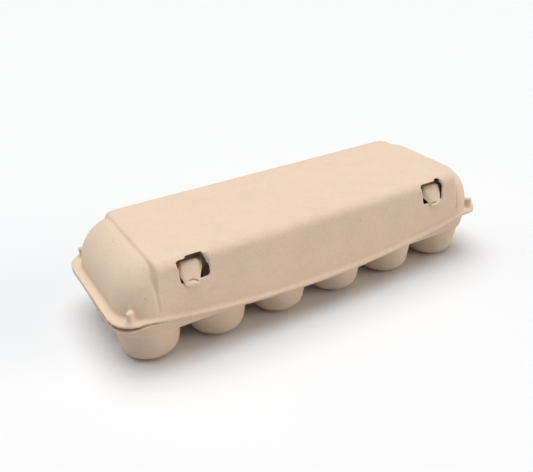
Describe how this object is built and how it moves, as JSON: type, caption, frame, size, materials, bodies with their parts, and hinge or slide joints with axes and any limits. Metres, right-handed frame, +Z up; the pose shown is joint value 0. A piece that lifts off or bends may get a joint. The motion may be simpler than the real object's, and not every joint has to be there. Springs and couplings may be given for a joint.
{
  "type": "egg carton",
  "caption": "Moulded-pulp egg carton: tray of cups in two rows, domed lid on a rear fold, locking flap with tabs that spring out through windows in the lid.",
  "frame": {"origin": "on the surface the cups stand on, under the middle of the outline", "axes": "+X along the carton, +Z up, the locking side faces -Y"},
  "size_m": [0.2928, 0.106, 0.0715],
  "materials": {
    "pulp_tray": "matt moulded pulp, fibrous",
    "pulp_lid": "matt moulded pulp, fibrous",
    "pulp_flap": "matt moulded pulp, fibrous"
  },
  "bodies": {
    "tray": {"centre_post_1": "pulp_tray", "centre_post_2": "pulp_tray", "centre_post_3": "pulp_tray", "centre_post_4": "pulp_tray", "centre_post_5": "pulp_tray", "egg_cup_front_1": "pulp_tray", "egg_cup_front_2": "pulp_tray", "egg_cup_front_3": "pulp_tray", "egg_cup_front_4": "pulp_tray", "egg_cup_front_5": "pulp_tray", "egg_cup_front_6": "pulp_tray", "egg_cup_rear_1": "pulp_tray", "egg_cup_rear_2": "pulp_tray", "egg_cup_rear_3": "pulp_tray", "egg_cup_rear_4": "pulp_tray", "egg_cup_rear_5": "pulp_tray", "egg_cup_rear_6": "pulp_tray", "front_fold": "pulp_tray", "rear_fold": "pulp_tray", "tray_front_rim": "pulp_tray", "tray_left_rim": "pulp_tray", "tray_rear_rim": "pulp_tray", "tray_right_rim": "pulp_tray"},
    "lid": {"corner_nub_front_left": "pulp_lid", "corner_nub_front_right": "pulp_lid", "corner_nub_rear_left": "pulp_lid", "corner_nub_rear_right": "pulp_lid", "lid_front_panel": "pulp_lid", "lid_front_rim": "pulp_lid", "lid_left_end": "pulp_lid", "lid_left_rim": "pulp_lid", "lid_rear_panel": "pulp_lid", "lid_rear_rim": "pulp_lid", "lid_right_end": "pulp_lid", "lid_right_rim": "pulp_lid", "lid_roof": "pulp_lid"},
    "flap": {"locking_flap": "pulp_flap"},
    "left_tab": {"left_locking_tab": "pulp_flap"},
    "right_tab": {"right_locking_tab": "pulp_flap"}
  },
  "joints": [
    {"name": "lid_hinge", "type": "hinge", "parent": "tray", "child": "lid", "pos_m": [0, 0.052, 0.0365], "axis": [-1, 0, 0], "range_deg": [0, 180], "deforming": ["left_locking_tab", "right_locking_tab"]},
    {"name": "flap_fold", "type": "hinge", "parent": "tray", "child": "flap", "pos_m": [0, -0.0456, 0.0293], "axis": [1, 0, 0], "range_deg": [0, 100], "deforming": ["left_locking_tab", "right_locking_tab"]},
    {"name": "left_tab_press", "type": "hinge", "parent": "flap", "child": "left_tab", "pos_m": [-0.0942, -0.0456, 0.0293], "axis": [-1, 0, 0], "range_deg": [0, 9], "stiffness_Nm_per_rad": 0.02},
    {"name": "right_tab_press", "type": "hinge", "parent": "flap", "child": "right_tab", "pos_m": [0.0942, -0.0456, 0.0293], "axis": [-1, 0, 0], "range_deg": [0, 9], "stiffness_Nm_per_rad": 0.02}
  ],
  "couplings": [
    {"joint": "flap_fold", "follows": "lid_hinge", "ratio": 0.5556}
  ]
}
